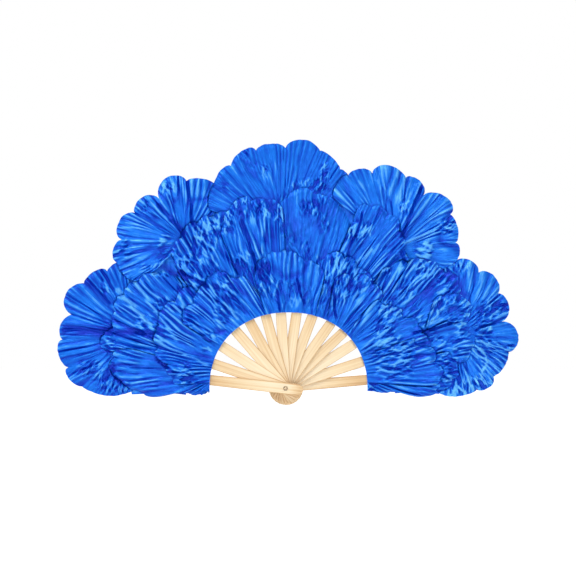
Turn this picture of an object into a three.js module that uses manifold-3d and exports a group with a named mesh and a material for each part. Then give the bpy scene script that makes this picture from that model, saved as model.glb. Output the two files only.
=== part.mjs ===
// A folding petal fan, spread open and seen upright: fourteen bamboo sticks turn on one
// rivet and carry a leaf of three rows of satin petals.
// Millimetres and degrees. The origin is on the rivet's axis, in the middle of the stack.
// +Z is the middle direction of the open fan, +X its right side, and the front faces -Y.
import * as THREE from 'three';
import { mergeVertices } from 'three/addons/utils/BufferGeometryUtils.js';
import Module from 'manifold-3d';

const wasm = await Module();
wasm.setup();

// The direction of each stick when the fan is open, counted from +X towards +Z. The first is
// the rear guard and the last is the front guard. A hand spreads the sticks a little unevenly.
const STICK_ANGLES = [4.8, 18.2, 32.2, 43.4, 54.7, 69.3, 81.5, 93.5, 105.3, 118.5, 131.1, 146.7, 161.4, 173.7];

// The sticks and guards.
const STICK_THICKNESS = 1.7;
const GUARD_THICKNESS = 3.0;
const STACK_GAP = 0.3;
const HEAD_WIDTH = 11.0;
const NECK_WIDTH = 10.2;
const TAIL_LENGTH = 17.5;
const EDGE_ROUNDING = 0.3;
const SHOULDER_LENGTH = 9.0;
const RIB_ROOT_WIDTH = 6.0;
const RIB_TIP_WIDTH = 3.0;
const RIB_REACH = 202.0;

// The rivet and its washer.
const PIN_RADIUS = 1.2;
const RIVET_HEAD_RADIUS = 2.2;
const RIVET_HEAD_HEIGHT = 0.9;
const WASHER_RADIUS = 3.4;
const WASHER_THICKNESS = 0.6;
const RUNNING_CLEARANCE = 0.3;
const SEAT_DEPTH = 0.5;

// The leaf. Its inner edge is a circle whose centre lies a little off the rivet's axis.
const CLOTH_THICKNESS = 0.4;
const HOLE_RADIUS = 82.1;
const HOLE_CENTRE_X = 1.5;
const HOLE_CENTRE_Z = -5.4;
const LEAF_RIGHT_EDGE = -2.6;
const LEAF_LEFT_EDGE = 182.8;
const STICK_COVER = 2.2;
const PANEL_LAP = 0.4;

// Each row of petals ends in round scallops. A row lists the valleys between its scallops, from
// the right edge of the leaf to the left, as [direction, share of the row's reach from the rivet].
const BACK_REACH = 240;
const MIDDLE_REACH = 190;
const FRONT_REACH = 135;
const BACK_ROW = [
  [LEAF_RIGHT_EDGE, 0.717], [-0.4, 0.821], [3.6, 0.871], [9.6, 0.942], [17, 0.95], [23.4, 0.971],
  [31.7, 0.938], [36.5, 0.867], [40.1, 0.925], [46.2, 0.992], [54.5, 0.992], [61, 1.004],
  [67.8, 0.963], [73.3, 0.921], [76.6, 0.954], [90.1, 0.992], [97.5, 0.992], [104, 0.938],
  [109.3, 0.887], [115.7, 0.954], [123.8, 0.946], [130.6, 0.958], [138.1, 0.921], [143.5, 0.875],
  [146.5, 0.883], [153, 0.946], [161.5, 0.938], [167.5, 0.95], [176.3, 0.908], [LEAF_LEFT_EDGE, 0.758],
];
const MIDDLE_ROW = [
  [LEAF_RIGHT_EDGE, 0.789], [8, 0.832], [17.5, 0.968], [29.5, 1], [38, 0.968], [46, 0.916],
  [57, 1.011], [68, 0.979], [70, 0.8], [89, 0.789], [92, 0.937], [99.5, 0.995],
  [107, 0.968], [110, 0.884], [118, 0.947], [125, 0.947], [132, 0.832], [141, 0.916],
  [148, 0.979], [158, 0.958], [168, 0.958], [175, 0.874], [LEAF_LEFT_EDGE, 0.747],
];
const FRONT_ROW = [
  [LEAF_RIGHT_EDGE, 0.874], [8, 1.037], [19, 1.037], [30, 0.904], [40, 0.889], [52, 0.963],
  [64, 0.993], [76, 0.963], [90, 0.993], [104, 0.83], [110, 0.874], [118, 0.948],
  [125, 0.933], [130, 0.889], [137, 0.904], [146, 0.874], [156, 0.904], [166, 0.859],
  [175, 0.889], [LEAF_LEFT_EDGE, 0.83],
];
const ROWS = [
  { name: 'back_petals', reach: BACK_REACH, valleys: BACK_ROW },
  { name: 'middle_petals', reach: MIDDLE_REACH, valleys: MIDDLE_ROW },
  { name: 'front_petals', reach: FRONT_REACH, valleys: FRONT_ROW },
];
// How far a scallop stands out past its valleys, as a share of the distance between them, and
// how full its curve is: 1 is a parabola, and less is rounder.
const SCALLOP_RISE = 0.26;
const SCALLOP_FULLNESS = 0.75;

// How finely curves are divided.
const RIM_STEPS = 5;
const INNER_STEPS = 4;
const ROUND_END_STEPS = 8;
const HOLE_STEPS = 60;
const LATHE_STEPS = 24;
const DOME_STEPS = 3;
const WELD_DISTANCE = 1e-5;

const LEAF_THICKNESS = ROWS.length * CLOTH_THICKNESS;
const LAST = STICK_ANGLES.length - 1;

const bamboo = new THREE.MeshStandardMaterial({ color: 0xf1dbb8, roughness: 0.55, metalness: 0 });
const satin = new THREE.MeshStandardMaterial({ color: 0x2269de, roughness: 0.35, metalness: 0 });
const steel = new THREE.MeshStandardMaterial({ color: 0xb9b4a8, roughness: 0.3, metalness: 1 });

const radians = THREE.MathUtils.degToRad;
const lerp = THREE.MathUtils.lerp;

// Turns a shape drawn in X and Y, and extruded along Z, so that it is drawn in X and Z and its
// thickness runs from the plane y = 0 towards the front.
const UPRIGHT = new THREE.Matrix4().makeBasis(
  new THREE.Vector3(1, 0, 0),
  new THREE.Vector3(0, 0, 1),
  new THREE.Vector3(0, -1, 0),
);

function slab(shape, backY, thickness, rounding = 0) {
  const geometry = new THREE.ExtrudeGeometry(shape, {
    depth: thickness - 2 * rounding,
    bevelEnabled: rounding > 0,
    bevelThickness: rounding,
    bevelSize: rounding,
    bevelOffset: -rounding,
    bevelSegments: 1,
    curveSegments: ROUND_END_STEPS,
  });
  geometry.translate(0, 0, rounding);
  return geometry.applyMatrix4(UPRIGHT).translate(0, backY, 0);
}

function toSolid(geometry) {
  geometry.deleteAttribute('normal');
  geometry.deleteAttribute('uv');
  const welded = mergeVertices(geometry, WELD_DISTANCE);
  const mesh = new wasm.Mesh({
    numProp: 3,
    vertProperties: welded.getAttribute('position').array,
    triVerts: new Uint32Array(welded.index.array),
  });
  return new wasm.Manifold(mesh);
}

function toGeometry(solid) {
  const mesh = solid.getMesh();
  const geometry = new THREE.BufferGeometry();
  geometry.setAttribute('position', new THREE.BufferAttribute(mesh.vertProperties, 3));
  geometry.setIndex(new THREE.BufferAttribute(mesh.triVerts, 1));
  geometry.computeVertexNormals();
  return geometry;
}

// The stack, from the rear guard at the back to the front guard at the front.
const isGuard = (index) => index === 0 || index === LAST;
const thicknessOf = (index) => (isGuard(index) ? GUARD_THICKNESS : STICK_THICKNESS);
const STACK_DEPTH = STICK_ANGLES.reduce((sum, _, index) => sum + thicknessOf(index), LAST * STACK_GAP);

// The floors of the two seats, which the washer and the rivet's head lie against.
const REAR_SEAT = STACK_DEPTH / 2 - SEAT_DEPTH;
const FRONT_SEAT = -REAR_SEAT;

function backOf(index) {
  let y = STACK_DEPTH / 2;
  for (let i = 0; i < index; i += 1) y -= thicknessOf(i) + STACK_GAP;
  return y;
}

// The distance from the rivet's axis to the leaf's inner edge, in one direction.
function innerRadius(angle) {
  const along = HOLE_CENTRE_X * Math.cos(radians(angle)) + HOLE_CENTRE_Z * Math.sin(radians(angle));
  return along + Math.sqrt(along ** 2 + HOLE_RADIUS ** 2 - HOLE_CENTRE_X ** 2 - HOLE_CENTRE_Z ** 2);
}

// The distance from the rivet's axis to a row's scalloped rim, in one direction.
function rimRadius({ reach, valleys }, angle) {
  let i = 0;
  while (i < valleys.length - 2 && angle > valleys[i + 1][0]) i += 1;
  const [[startAngle, startShare], [endAngle, endShare]] = [valleys[i], valleys[i + 1]];
  const [startRadius, endRadius] = [reach * startShare, reach * endShare];
  const share = THREE.MathUtils.clamp((angle - startAngle) / (endAngle - startAngle), 0, 1);
  const width = radians(endAngle - startAngle) * (startRadius + endRadius) / 2;
  const chord = Math.hypot(width, endRadius - startRadius);
  const bulge = (4 * share * (1 - share)) ** SCALLOP_FULLNESS;
  return lerp(startRadius, endRadius, share) + SCALLOP_RISE * chord * bulge;
}

const polar = (angle, radius) =>
  new THREE.Vector2(radius * Math.cos(radians(angle)), radius * Math.sin(radians(angle)));

// The outline of a stick that points along +Y of its own plane: a round tail, a blade that
// narrows a little to the leaf, and behind the leaf a slim tapering rib.
function stickShape(angle) {
  const tail = HEAD_WIDTH / 2;
  const tip = RIB_TIP_WIDTH / 2;
  const shoulder = innerRadius(angle);
  const shape = new THREE.Shape();
  shape.absarc(0, tail - TAIL_LENGTH, tail, Math.PI, 2 * Math.PI, false);
  shape.lineTo(NECK_WIDTH / 2, shoulder);
  shape.lineTo(RIB_ROOT_WIDTH / 2, shoulder + SHOULDER_LENGTH);
  shape.absarc(0, RIB_REACH - tip, tip, 0, Math.PI, false);
  shape.lineTo(-RIB_ROOT_WIDTH / 2, shoulder + SHOULDER_LENGTH);
  shape.lineTo(-NECK_WIDTH / 2, shoulder);
  shape.closePath();
  const hole = new THREE.Path();
  hole.absarc(0, 0, PIN_RADIUS + RUNNING_CLEARANCE, 0, 2 * Math.PI, true);
  shape.holes.push(hole);
  return shape;
}

// The space that the leaf takes in front of a stick's rib, in the stick's own plane.
function leafSpace(angle, backY) {
  const far = 2 * RIB_REACH;
  const space = new THREE.Shape([
    new THREE.Vector2(-far, -far),
    new THREE.Vector2(far, -far),
    new THREE.Vector2(far, far),
    new THREE.Vector2(-far, far),
  ]);
  const centre = new THREE.Vector2(HOLE_CENTRE_X, HOLE_CENTRE_Z);
  centre.rotateAround(new THREE.Vector2(), radians(90 - angle));
  const hole = new THREE.Path();
  hole.absarc(centre.x, centre.y, HOLE_RADIUS - RUNNING_CLEARANCE, 0, 2 * Math.PI, true);
  space.holes.push(hole);
  const geometry = new THREE.ExtrudeGeometry(space, {
    depth: 2 * GUARD_THICKNESS,
    bevelEnabled: false,
    curveSegments: HOLE_STEPS,
  });
  return geometry.applyMatrix4(UPRIGHT).translate(0, backY, 0);
}

// The shallow round recess in a guard's outer face, in which the washer or the rivet's head sits.
function seatSpace(radius, backY) {
  const circle = new THREE.Shape();
  circle.absarc(0, 0, radius + RUNNING_CLEARANCE, 0, 2 * Math.PI, false);
  return slab(circle, backY, 2 * SEAT_DEPTH);
}

function makeStick(index) {
  const angle = STICK_ANGLES[index];
  const thickness = thicknessOf(index);
  const ribFront = backOf(index) - (thickness - LEAF_THICKNESS);
  let solid = toSolid(slab(stickShape(angle), backOf(index), thickness, EDGE_ROUNDING));
  solid = solid.subtract(toSolid(leafSpace(angle, ribFront)));
  if (index === 0) solid = solid.subtract(toSolid(seatSpace(WASHER_RADIUS, REAR_SEAT + 2 * SEAT_DEPTH)));
  if (index === LAST) solid = solid.subtract(toSolid(seatSpace(RIVET_HEAD_RADIUS, FRONT_SEAT)));
  const stick = new THREE.Mesh(toGeometry(solid), bamboo);
  stick.name = nameOfStick(index);
  stick.rotation.y = radians(90 - angle);
  return stick;
}

function nameOfStick(index) {
  if (index === 0) return 'rear_guard';
  if (index === LAST) return 'front_guard';
  return `stick_${twoDigits(index)}`;
}

function twoDigits(index) {
  return String(index).padStart(2, '0');
}

// One panel of a row: the cloth that one stick carries, from just before its own rib to just
// before the next one. The first and last panels also reach the leaf's free side edges.
function makePanel(row, level, index) {
  const from = index === 0 ? LEAF_RIGHT_EDGE : STICK_ANGLES[index] - STICK_COVER;
  const to = index === LAST ? LEAF_LEFT_EDGE : STICK_ANGLES[index + 1] - STICK_COVER + PANEL_LAP;
  const outline = [];
  for (let i = 0; i <= INNER_STEPS; i += 1) {
    const angle = lerp(to, from, i / INNER_STEPS);
    outline.push(polar(angle, innerRadius(angle)));
  }
  for (const angle of rimAngles(row.valleys, from, to)) {
    outline.push(polar(angle, rimRadius(row, angle)));
  }
  const backY = backOf(index) - thicknessOf(index) + LEAF_THICKNESS - level * CLOTH_THICKNESS;
  const panel = new THREE.Mesh(slab(new THREE.Shape(outline), backY, CLOTH_THICKNESS), satin);
  panel.name = `${row.name}_${twoDigits(index)}`;
  return panel;
}

// The directions at which a panel's rim has a point: its two ends, the valleys between them,
// and even steps along each scallop.
function rimAngles(valleys, from, to) {
  const stops = [from, ...valleys.map(([angle]) => angle).filter((angle) => angle > from && angle < to), to];
  const angles = [from];
  for (let i = 1; i < stops.length; i += 1) {
    for (let step = 1; step <= RIM_STEPS; step += 1) {
      angles.push(lerp(stops[i - 1], stops[i], step / RIM_STEPS));
    }
  }
  return angles;
}

// The pin and its domed head in front are one piece, with a flat head peened over the washer.
function makeRivet() {
  const frontFace = FRONT_SEAT - RUNNING_CLEARANCE;
  const tailFace = REAR_SEAT + WASHER_THICKNESS + 2 * RUNNING_CLEARANCE;
  const profile = [];
  for (let i = 0; i <= DOME_STEPS; i += 1) {
    const turn = (i / DOME_STEPS) * Math.PI / 2;
    const height = RIVET_HEAD_HEIGHT * Math.cos(turn);
    profile.push(new THREE.Vector2(RIVET_HEAD_RADIUS * Math.sin(turn), frontFace - height));
  }
  profile.push(new THREE.Vector2(PIN_RADIUS, frontFace));
  profile.push(new THREE.Vector2(PIN_RADIUS, tailFace));
  profile.push(new THREE.Vector2(RIVET_HEAD_RADIUS, tailFace));
  profile.push(new THREE.Vector2(RIVET_HEAD_RADIUS, tailFace + RIVET_HEAD_HEIGHT / 2));
  profile.push(new THREE.Vector2(0, tailFace + RIVET_HEAD_HEIGHT));
  const rivet = new THREE.Mesh(new THREE.LatheGeometry(profile, LATHE_STEPS), steel);
  rivet.name = 'rivet';
  return rivet;
}

function makeWasher() {
  const near = REAR_SEAT + RUNNING_CLEARANCE;
  const far = near + WASHER_THICKNESS;
  const bore = PIN_RADIUS + RUNNING_CLEARANCE;
  const profile = [
    new THREE.Vector2(bore, near),
    new THREE.Vector2(WASHER_RADIUS, near),
    new THREE.Vector2(WASHER_RADIUS, far),
    new THREE.Vector2(bore, far),
    new THREE.Vector2(bore, near),
  ];
  const washer = new THREE.Mesh(new THREE.LatheGeometry(profile, LATHE_STEPS), steel);
  washer.name = 'rear_washer';
  return washer;
}

const fan = new THREE.Group();
STICK_ANGLES.forEach((_, index) => {
  fan.add(makeStick(index));
  ROWS.forEach((row, level) => fan.add(makePanel(row, level, index)));
});
fan.add(makeRivet(), makeWasher());

export default fan;
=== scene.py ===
# %% [markdown]
# # A folding petal fan
# Fourteen bamboo sticks turn on one rivet and carry a leaf of blue satin. The sticks, the rivet
# and its washer are exact solids that come with the frame. This file gives them their finish
# and makes the satin: three rows of scalloped petals, each pleated from its root to its rim.

import bpy
import numpy as np
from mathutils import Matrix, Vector


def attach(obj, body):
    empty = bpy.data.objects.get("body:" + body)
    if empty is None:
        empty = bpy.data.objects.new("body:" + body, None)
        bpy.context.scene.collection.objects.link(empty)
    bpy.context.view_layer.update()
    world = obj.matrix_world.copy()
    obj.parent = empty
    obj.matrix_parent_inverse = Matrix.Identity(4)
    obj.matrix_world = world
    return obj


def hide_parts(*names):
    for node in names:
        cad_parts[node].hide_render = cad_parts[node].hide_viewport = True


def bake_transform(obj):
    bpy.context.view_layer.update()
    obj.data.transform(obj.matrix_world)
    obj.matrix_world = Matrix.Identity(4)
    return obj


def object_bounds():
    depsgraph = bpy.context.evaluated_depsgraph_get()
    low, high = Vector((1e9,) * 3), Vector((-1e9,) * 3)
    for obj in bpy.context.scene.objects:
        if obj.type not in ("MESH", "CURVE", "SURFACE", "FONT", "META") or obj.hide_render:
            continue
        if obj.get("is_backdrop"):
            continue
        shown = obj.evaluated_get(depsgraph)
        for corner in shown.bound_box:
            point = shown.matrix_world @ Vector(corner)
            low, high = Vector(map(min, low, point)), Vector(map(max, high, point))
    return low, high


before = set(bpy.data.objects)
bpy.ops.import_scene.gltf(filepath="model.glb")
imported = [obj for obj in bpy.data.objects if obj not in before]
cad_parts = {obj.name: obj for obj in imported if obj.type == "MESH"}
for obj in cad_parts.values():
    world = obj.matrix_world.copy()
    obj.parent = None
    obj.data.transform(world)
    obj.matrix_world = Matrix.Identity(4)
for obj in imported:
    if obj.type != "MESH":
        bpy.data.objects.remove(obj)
cad_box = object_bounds()

# %% [markdown]
# The fan stands upright. The rivet's axis is the Y axis, the front faces -Y, and each stick
# points in its own direction in the X-Z plane. Directions are counted in degrees from +X
# towards +Z. Everything that the satin needs to know about the sticks can be measured on them:
# where each one points, and how far forward the face lies that the satin is glued to.

# %% Sticks, from the rear guard to the front guard
MM = 0.001
STICKS = ["rear_guard"] + [f"stick_{number:02d}" for number in range(1, 13)] + ["front_guard"]
RIB_FROM = 100 * MM
TIP_DEPTH = 0.2 * MM


def direction_at(x, z):
    """The direction of places seen from the rivet, in degrees from -90 to 270."""
    direction = np.degrees(np.arctan2(z, x))
    return np.where(direction < -90, direction + 360, direction)


def corners(name):
    """All corners of a CAD node, as an array of x, y and z in metres."""
    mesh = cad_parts[name].data
    values = np.empty(len(mesh.vertices) * 3)
    mesh.vertices.foreach_get("co", values)
    return values.reshape(-1, 3)


def direction_of(name):
    """A stick's direction: that of the middle of its round tip, farthest from the rivet."""
    places = corners(name)
    reach = np.hypot(places[:, 0], places[:, 2])
    tip = places[reach > reach.max() - TIP_DEPTH].mean(0)
    return direction_at(tip[0], tip[2])


def glued_face(name):
    """The y of the front of a stick's rib, measured well beyond the leaf's inner edge."""
    places = corners(name)
    return places[np.hypot(places[:, 0], places[:, 2]) > RIB_FROM, 1].min()


directions = np.array([direction_of(name) for name in STICKS])
faces = np.array([glued_face(name) for name in STICKS])
print("directions:", directions.round(1))
print("glued faces, mm:", (faces / MM).round(2))

# %% [markdown]
# ## The camera
# The photograph looks straight at the fan from some way off, so the lens is long and level.

# %% Camera
CAMERA_AT = (0.0025, -1.6, 0.0995)
LENS = 100
SENSOR = 36


def placed(name, data):
    """A new object in the scene, with this data."""
    item = bpy.data.objects.new(name, data)
    bpy.context.scene.collection.objects.link(item)
    return item


camera = placed("camera", bpy.data.cameras.new("camera"))
camera.data.lens = LENS
camera.data.sensor_width = SENSOR
camera.location = CAMERA_AT
camera.rotation_euler = (np.pi / 2, 0, 0)
bpy.context.scene.camera = camera
print("the frame is", round(SENSOR / LENS * -CAMERA_AT[1], 3), "m wide at the fan")

# %% [markdown]
# ## Helpers for surfaces
# Cloth never repeats itself, so its pleats and folds are steered by smooth random values. The
# lattice comes from a numbered seed, and so each run gives the same fan.

# %% Smooth steps and smooth random values
LATTICE = 64


def smooth(share):
    """A share from 0 to 1 that leaves 0 and reaches 1 gently: 3 s^2 - 2 s^3."""
    share = np.clip(share, 0, 1)
    return share * share * (3 - 2 * share)


def noise(across, along, seed):
    """Smooth random values from -1 to 1, about one change per unit, both ways.

    Random numbers stand on a square lattice one unit apart, and between four of them the
    value goes from one to the next by the smooth step.
    """
    lattice = np.random.default_rng(seed).uniform(-1, 1, (LATTICE, LATTICE))
    column, row = np.floor(across).astype(int), np.floor(along).astype(int)
    right, up = smooth(across - column), smooth(along - row)
    column, row = column % LATTICE, row % LATTICE
    next_column, next_row = (column + 1) % LATTICE, (row + 1) % LATTICE
    low = lattice[column, row] * (1 - right) + lattice[next_column, row] * right
    high = lattice[column, next_row] * (1 - right) + lattice[next_column, next_row] * right
    return low * (1 - up) + high * up


# %% [markdown]
# The satin is glued to the front face of each rib, and each stick lies 2 mm in front of the one
# to its right. So the leaf isn't flat: it climbs from rib to rib, flat over each rib and sloping
# between them.

# %% How far forward the ribs hold the satin
RAMP_START = 0.3
RAMP_END = 0.7
STEP_CENTRE = (1.5, -5.4)
STEP_RADIUS = 82.1
STEP_HEIGHT = 1.95
STEP_FLAT = 0.5
STEP_FADE = 9.0


def rib_surface(x, z):
    """The y, in metres, of the surface that the ribs hold, at places x and z in millimetres.

    Between two ribs it goes from the first one's glued face to the next one's by a smooth
    step over the middle of the gap. Near the hole the sticks are thicker, and the satin lies
    over that step.
    """
    direction = direction_at(x, z)
    gap = np.clip(np.searchsorted(directions, direction) - 1, 0, len(directions) - 2)
    share = (direction - directions[gap]) / (directions[gap + 1] - directions[gap])
    rise = smooth((share - RAMP_START) / (RAMP_END - RAMP_START))
    beyond = np.hypot(x - STEP_CENTRE[0], z - STEP_CENTRE[1]) - STEP_RADIUS
    lift = STEP_HEIGHT * MM * (1 - smooth((beyond - STEP_FLAT) / STEP_FADE))
    return faces[gap] + (faces[gap + 1] - faces[gap]) * rise - lift


# %% [markdown]
# ## Petals
# Each petal is a fan of its own: its pleats spread from a root, where the satin is gathered, to a
# rim of round scallops. An entry of the list gives a petal's row and its root, in millimetres from
# the rivet. Three numbers tell how strongly it is pleated and crushed, with 1 as usual, and how
# light its colour is, from 0 to 1: that lightness is painted light and shade, darker for the
# petals at the lower left and lighter for those at the right. Petals near the hole are gathered
# along a stretch of its edge: two directions in degrees, and a scale. The last numbers are points
# on the rim, the x and z of each in turn: a valley, the top of a scallop, a valley, and so on,
# anticlockwise about the root. The list goes from the back of the fan to its front.

# %% The petals, from back to front
PETALS = [
    ("back", (169.5, 52.5), (1.0, 0.55, 0.63), None, [
        151, -3, 170, -9, 191, -1.5, 203.5, 0, 208, 10.5, 219.5, 22.5, 223, 35.5, 232.5, 53,
        216.5, 66, 223.5, 80.5, 212.5, 94, 209.5, 110.5, 193, 114.5, 183.5, 128, 168, 124,
        158.5, 119.5, 150.5, 105.5,
    ]),
    ("back", (-150.5, 52.5), (0.85, 0.45, 0.38), None, [
        -157.5, 117.5, -163.5, 121.5, -168.5, 125, -173, 122.5, -178.5, 116, -190, 117,
        -201.5, 104.5, -221, 91, -214, 73, -225.5, 60.5, -222, 48, -228, 35.5, -216.5, 20.5,
        -218, 11, -203, 1.5, -179.5, -8, -152, -2.5,
    ]),
    ("back", (-99.5, 144.5), (1.05, 0.4, 0.55), None, [
        -59.5, 187.5, -64.5, 195.5, -71, 202, -82.5, 209, -99, 206, -119.5, 209.5, -126, 188,
        -142.5, 190.5, -150.5, 174.5, -167, 165.5, -163.5, 148, -173, 137, -168, 125,
        -159.5, 110.5, -143.5, 105.5,
    ]),
    ("back", (-0.5, 149.5), (0.5, 0.15, 0.46), None, [
        64.5, 187.5, 64.5, 201.5, 63, 211, 60, 215.5, 54.5, 218.5, 47.5, 229.5, 34.5, 236.5,
        16, 248, 0, 239, -15.5, 244, -29.5, 236.5, -42, 237.5, -54.5, 221.5, -65, 217, -71, 202,
        -76.5, 191.5, -75.5, 177.5,
    ]),
    ("back", (106.5, 137.5), (0.95, 0.35, 0.72), None, [
        139.5, 115.5, 154.5, 117.5, 166, 123.5, 174.5, 134.5, 169.5, 145, 173, 156.5, 164.5, 173,
        161.5, 190, 138, 192, 134.5, 206.5, 120.5, 209.5, 100.5, 222.5, 87, 213, 76, 219,
        63, 211.5, 52.5, 205.5, 48.5, 189.5,
    ]),
    ("middle", (-55.5, 62.5), (1.1, 1.0, 0.45), None, [
        -80.5, 125.5, -93.5, 129.5, -99.5, 122.5, -108.5, 117.5, -105.5, 103.5, -109.5, 91.5,
        -101.5, 77.5,
    ]),
    ("middle", (-95.5, 35.5), (1.3, 0.9, 0.4), (140, 176, 1.2), [
        -107.5, 102.5, -114.5, 115, -127, 113.5, -138.5, 113.5, -148.5, 105.5, -157.5, 101.5,
        -161.5, 93.5, -170.5, 86.5, -168.5, 76.5, -174.5, 68.5, -172, 59.5, -185, 48, -180.5, 38,
        -173.5, 30.5, -159.5, 26.5,
    ]),
    ("middle", (-107.5, 7.5), (1.0, 0.5, 0.4), (168, 184, 1.3), [
        -111.5, 21.5, -122.5, 30, -135.5, 31.5, -150.5, 33, -161.5, 29, -169, 21, -165.5, 10.5,
        -160, 5, -152, 0, -145.5, -4, -133.5, -4,
    ]),
    ("front", (-71.5, 4.5), (1.2, 0.4, 0.3), (168, 184, 1.0), [
        -150, 37.5, -168, 37.5, -171.5, 30, -175, 19, -168.5, 10.5, -161, 3.5, -152, -2.5,
        -132, -9.5, -112, -6.5, -95, -6.5, -75.5, -5,
    ]),
    ("middle", (-55.5, 84.5), (1.2, 1.3, 0.5), (108, 140, 1.25), [
        -45.5, 161.5, -58.5, 175.5, -72.5, 170.5, -81.5, 170, -88, 163, -99, 161.5, -104.5, 150.5,
        -113.5, 140.5, -112.5, 127.5, -109.5, 118.5, -100.5, 110.5,
    ]),
    ("middle", (32.5, 115.5), (0.5, 0.55, 0.38), (64, 95, 1.4), [
        65.5, 147.5, 64.5, 165.5, 53.5, 180.5, 41.5, 191.5, 27.5, 192.5, 14.5, 198, 2.5, 188.5,
        -5.5, 182.5, -9.5, 169.5,
    ]),
    ("middle", (-27.5, 111.5), (1.15, 0.95, 0.55), (91, 114, 1.35), [
        -3, 175, -8.5, 186, -17.5, 185.5, -25.5, 189.5, -35, 186, -44, 191, -54.5, 176.5,
        -61.5, 167.5, -63.5, 151.5,
    ]),
    ("middle", (56.5, 115.5), (1.2, 0.7, 0.5), (46, 70, 1.4), [
        114.5, 111.5, 122.5, 124.5, 118, 137.5, 119, 148.5, 113, 156.5, 112, 166.5, 102.5, 173,
        95, 181.5, 86, 180.5, 77.5, 184, 71, 176.5,
    ]),
    ("middle", (99.5, 62.5), (1.4, 1.0, 0.6), (18, 50, 1.35), [
        176.5, 69.5, 182.5, 81.5, 172.5, 92.5, 172.5, 107.5, 159.5, 115, 149, 124.5, 140.5, 124,
        132, 130.5, 122.5, 124.5, 114, 126.5, 105.5, 119.5, 96.5, 115.5, 92.5, 103.5,
    ]),
    ("middle", (139.5, 57.5), (1.2, 1.3, 0.6), None, [
        177.5, 61.5, 185.5, 73.5, 180.5, 87.5, 172, 94.5, 162.5, 91.5, 153.5, 92.5, 147.5, 84.5,
    ]),
    ("middle", (129.5, 42.5), (1.2, 1.3, 0.55), (6, 22, 1.5), [
        166.5, 21.5, 181.5, 28.5, 182, 38.5, 188.5, 46.5, 183, 54.5, 181.5, 63.5, 170.5, 64,
        159.5, 65.5, 150.5, 59.5,
    ]),
    ("middle", (114.5, 12.5), (1.2, 1.4, 0.5), (-3, 12, 1.35), [
        151, -3, 163.5, 0.5, 166.5, 8.5, 173.5, 16.5, 170.5, 27.5, 163.5, 35.5, 154.5, 33.5,
    ]),
    ("front", (69.5, 15.5), (1.3, 0.6, 0.3), (-4, 11, 1.0), [
        80.5, 0, 96.5, -5, 110.5, -3.5, 137.5, -10, 151, -3, 155.5, 5.5, 148.5, 13.5,
    ]),
    ("front", (42.5, 57.5), (1.0, 1.3, 0.5), (53, 76, 1.0), [
        87.5, 101.5, 83.5, 115.5, 71.5, 119.5, 67.5, 129.5, 58.5, 128, 49.5, 136, 39.5, 127.5,
        31.5, 120.5, 29.5, 105.5,
    ]),
    ("front", (-67.5, 22.5), (1.5, 0.5, 0.35), (141, 176, 1.0), [
        -89.5, 95.5, -102.5, 97.5, -110.5, 85.5, -124.5, 77.5, -124.5, 61.5, -133, 51.5,
        -127.5, 41.5, -127.5, 29.5, -117.5, 23.5, -116.5, 13.5, -107.5, 3.5,
    ]),
    ("front", (-48.5, 57.5), (1.4, 0.9, 0.5), (100, 148, 1.0), [
        -33.5, 100.5, -43.5, 110.5, -56.5, 106.5, -68, 115.5, -78, 100.5, -87.5, 97.5, -91.5, 84.5,
        -101.5, 76.5, -101.5, 63.5,
    ]),
    ("front", (-0.5, 62.5), (0.9, 0.5, 0.5), (70, 107, 1.0), [
        38.5, 111.5, 30.5, 123.5, 19.5, 125.5, 11.5, 133.5, 2.5, 134, -8.5, 137, -19.5, 129.5,
        -27.5, 123.5, -30.5, 106.5,
    ]),
    ("front", (50.5, 57.5), (1.1, 0.9, 0.42), (38, 60, 1.0), [
        105.5, 63.5, 104.5, 78.5, 93.5, 85.5, 97.5, 97.5, 85.5, 101.5, 77.5, 111.5, 66.5, 108.5,
        56.5, 113.5, 48.5, 103.5,
    ]),
    ("front", (59.5, 32.5), (1.3, 0.7, 0.45), (18, 43, 1.0), [
        138.5, 33.5, 145.5, 45.5, 133.5, 53.5, 130.5, 66.5, 117.5, 69, 111.5, 81.5, 99.5, 80.5,
        90.5, 87.5, 83.5, 80.5,
    ]),
    ("front", (64.5, 15.5), (1.3, 1.0, 0.45), (4, 23, 1.0), [
        144.5, 1.5, 156.5, 13.5, 147.5, 25.5, 148.5, 36.5, 134.5, 41.5, 126.5, 49.5, 116.5, 44.5,
    ]),
]
print("petals:", len(PETALS))

# %% [markdown]
# A scallop is the curve between two valleys. In polar terms about the root, the rim's distance
# goes straight from valley to valley, and a rounded hump is added to it. The hump is highest
# at the scallop's top point, wherever that lies between the valleys.

# %% The rim of a petal
SCALLOP_ROUNDNESS = 0.6
TOP_SHARES = (0.15, 0.85)
HOLE_CENTRE = (3.0, -0.3)
HOLE_HALF_WIDTH = 78.9
HOLE_HALF_HEIGHT = 75.4
HOLE_FULLNESS = 2.15
ROOT_SHARE = 0.07


def rim_distance(turn, turns, distances):
    """The rim's distance from the root at each turn, and how far up its scallop each one lies."""
    scallop = np.clip(np.searchsorted(turns[::2], turn) - 1, 0, len(turns) // 2 - 1) * 2
    first, last = turns[scallop], turns[scallop + 2]
    share = (turn - first) / (last - first)
    top_share = np.clip((turns[scallop + 1] - first) / (last - first), *TOP_SHARES)
    valley, climb = distances[scallop], distances[scallop + 2] - distances[scallop]
    straight = valley + climb * share
    height = distances[scallop + 1] - (valley + climb * top_share)
    bent = np.clip(share, 0, 1) ** (np.log(0.5) / np.log(top_share))
    hump = (4 * bent * (1 - bent)) ** SCALLOP_ROUNDNESS
    return straight + height * hump, hump


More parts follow.
